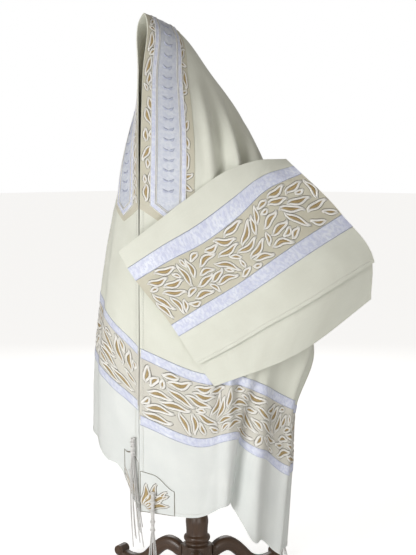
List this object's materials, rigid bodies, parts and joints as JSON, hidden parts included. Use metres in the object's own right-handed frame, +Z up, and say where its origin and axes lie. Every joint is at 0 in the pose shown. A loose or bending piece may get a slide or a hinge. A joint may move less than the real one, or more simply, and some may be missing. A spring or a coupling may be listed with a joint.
{
  "type": "prayer shawl and dress form",
  "caption": "Tallit prayer shawl draped like a hood over a limbless dress form, with satin ribbons, leaf bands, corner tassels and a length folded over one shoulder.",
  "frame": {"origin": "middle of the part's outline, on the floor under the stand", "axes": "+Z up; -Y is where the front slit faces; +X is the wearer's left, where the folded length lies over the shoulder"},
  "size_m": [0.531, 0.4526, 1.1803],
  "materials": {
    "cloth_ivory": "fine woven wool, matte with a faint sheen",
    "cloth_white": "fine woven wool, matte",
    "satin_lavender": "satin ribbon, pale lavender and silver",
    "band_sand": "beige cloth with corded gold leaf sprays",
    "patch_tan": "embroidered corner patch, matte",
    "tassel_cord": "twisted wool cord",
    "form_linen": "plain linen cover over a smooth form",
    "dark_wood": "turned and waxed"
  },
  "bodies": {
    "root": {"cloth_left": "cloth_ivory", "band_left": "band_sand", "end_left": "cloth_white", "ribbon_upper_left": "satin_lavender", "ribbon_lower_left": "satin_lavender", "corner_patch_left_front": "patch_tan", "corner_patch_left_back": "patch_tan", "tassel_left_front": "tassel_cord", "tassel_left_back": "tassel_cord", "cloth_right": "cloth_ivory", "band_right": "band_sand", "end_right": "cloth_white", "ribbon_upper_right": "satin_lavender", "ribbon_lower_right": "satin_lavender", "corner_patch_right_front": "patch_tan", "corner_patch_right_back": "patch_tan", "tassel_right_front": "tassel_cord", "tassel_right_back": "tassel_cord", "neckband_understrip": "band_sand", "neckband_strip": "satin_lavender", "shoulder_top": "cloth_ivory", "shoulder_under": "cloth_ivory", "shoulder_back": "cloth_ivory", "shoulder_ribbon_upper": "satin_lavender", "shoulder_ribbon_lower": "satin_lavender", "shoulder_band": "band_sand", "form_torso": "form_linen", "form_neck": "form_linen", "stand_column": "dark_wood", "stand_leg_1": "dark_wood", "stand_leg_2": "dark_wood", "stand_leg_3": "dark_wood"}
  },
  "joints": []
}
